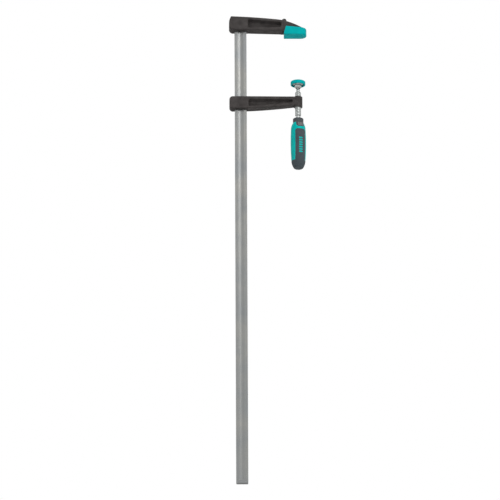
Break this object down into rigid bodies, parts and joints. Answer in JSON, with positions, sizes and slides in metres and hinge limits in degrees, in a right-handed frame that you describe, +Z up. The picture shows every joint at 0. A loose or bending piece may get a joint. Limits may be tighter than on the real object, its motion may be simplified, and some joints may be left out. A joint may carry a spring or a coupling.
{
  "type": "bar clamp",
  "caption": "Long F-style bar clamp: grooved flat rail, cast fixed jaw with soft cap, cast sliding arm, screw spindle with swivel pad and two-tone screwdriver handle.",
  "frame": {"origin": "middle of the fixed jaw's clamping face, on the spindle's axis", "axes": "+Z up along the rail, away from the clamping gap; +X from the rail to the spindle; +Y across the rail's thickness"},
  "size_m": [0.1811, 0.036, 1.1679],
  "materials": {
    "rail_steel": "bright drawn steel with a thin zinc coat",
    "black_casting": "black satin paint over a cast surface",
    "teal_cap": "soft teal plastic, satin",
    "zinc_steel": "bright zinc plated steel",
    "spring_steel": "oiled spring steel",
    "teal_core": "hard teal plastic, light gloss",
    "grey_grip": "soft dark grey moulded grip, matt",
    "grey_collar": "dark grey moulded collar, satin"
  },
  "bodies": {
    "fixed_frame": {"rail": "rail_steel", "fixed_jaw": "black_casting", "fixed_jaw_pins": "black_casting", "jaw_cap": "teal_cap"},
    "sliding_arm": {"sliding_arm": "black_casting"},
    "screw_carrier": {"pad_retaining_ring": "spring_steel"},
    "spindle": {"spindle": "zinc_steel", "handle_core": "teal_core", "handle_grip": "grey_grip", "handle_collar": "grey_collar"},
    "swivel_pad": {"pressure_plate": "zinc_steel", "pressure_cap": "teal_cap"}
  },
  "joints": [
    {"name": "arm_slide", "type": "slide", "parent": "fixed_frame", "child": "sliding_arm", "axis": [0, 0, 1], "range_m": [-0.925, 0.082]},
    {"name": "screw_travel", "type": "slide", "parent": "sliding_arm", "child": "screw_carrier", "axis": [0, 0, 1], "range_m": [-0.02, 0.028]},
    {"name": "screw_turn", "type": "hinge", "parent": "screw_carrier", "child": "spindle", "pos_m": [0, 0, -0.1264], "axis": [0, 0, 1], "range_deg": [-1801, 2521]},
    {"name": "pad_tilt", "type": "hinge", "parent": "screw_carrier", "child": "swivel_pad", "pos_m": [0, 0, -0.1264], "axis": [0, 1, 0], "range_deg": [-10, 10]}
  ],
  "couplings": [
    {"joint": "screw_turn", "follows": "screw_travel", "rad_per_m": 1570.8}
  ]
}
